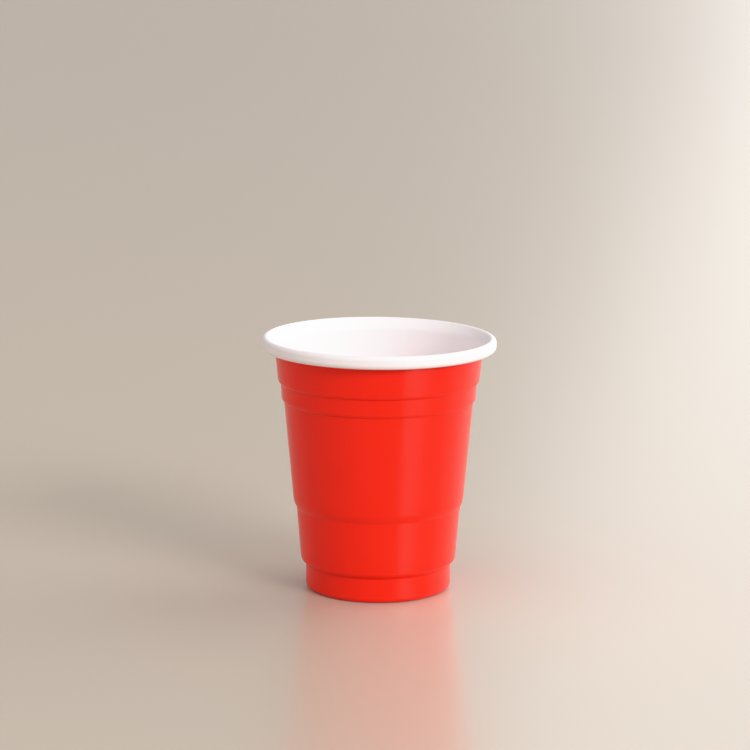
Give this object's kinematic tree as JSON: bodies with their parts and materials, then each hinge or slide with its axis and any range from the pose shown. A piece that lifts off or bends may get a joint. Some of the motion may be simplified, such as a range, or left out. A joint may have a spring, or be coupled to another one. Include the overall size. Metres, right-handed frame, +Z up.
{
  "type": "plastic shot cup",
  "caption": "Small disposable plastic shot cup with a stepped, tapered wall, a recessed base and a rim rolled outward.",
  "frame": {"origin": "centre of the base, on the plane the cup stands on", "axes": "+Z up along the cup's axis; the cup is the same all round, so X and Y have no feature"},
  "size_m": [0.052, 0.052, 0.057],
  "materials": {
    "cup_sheet": "smooth satin-gloss red outside, with a white inner layer that shows inside and on the rolled rim"
  },
  "bodies": {
    "root": {"shot_cup": "cup_sheet"}
  },
  "joints": []
}
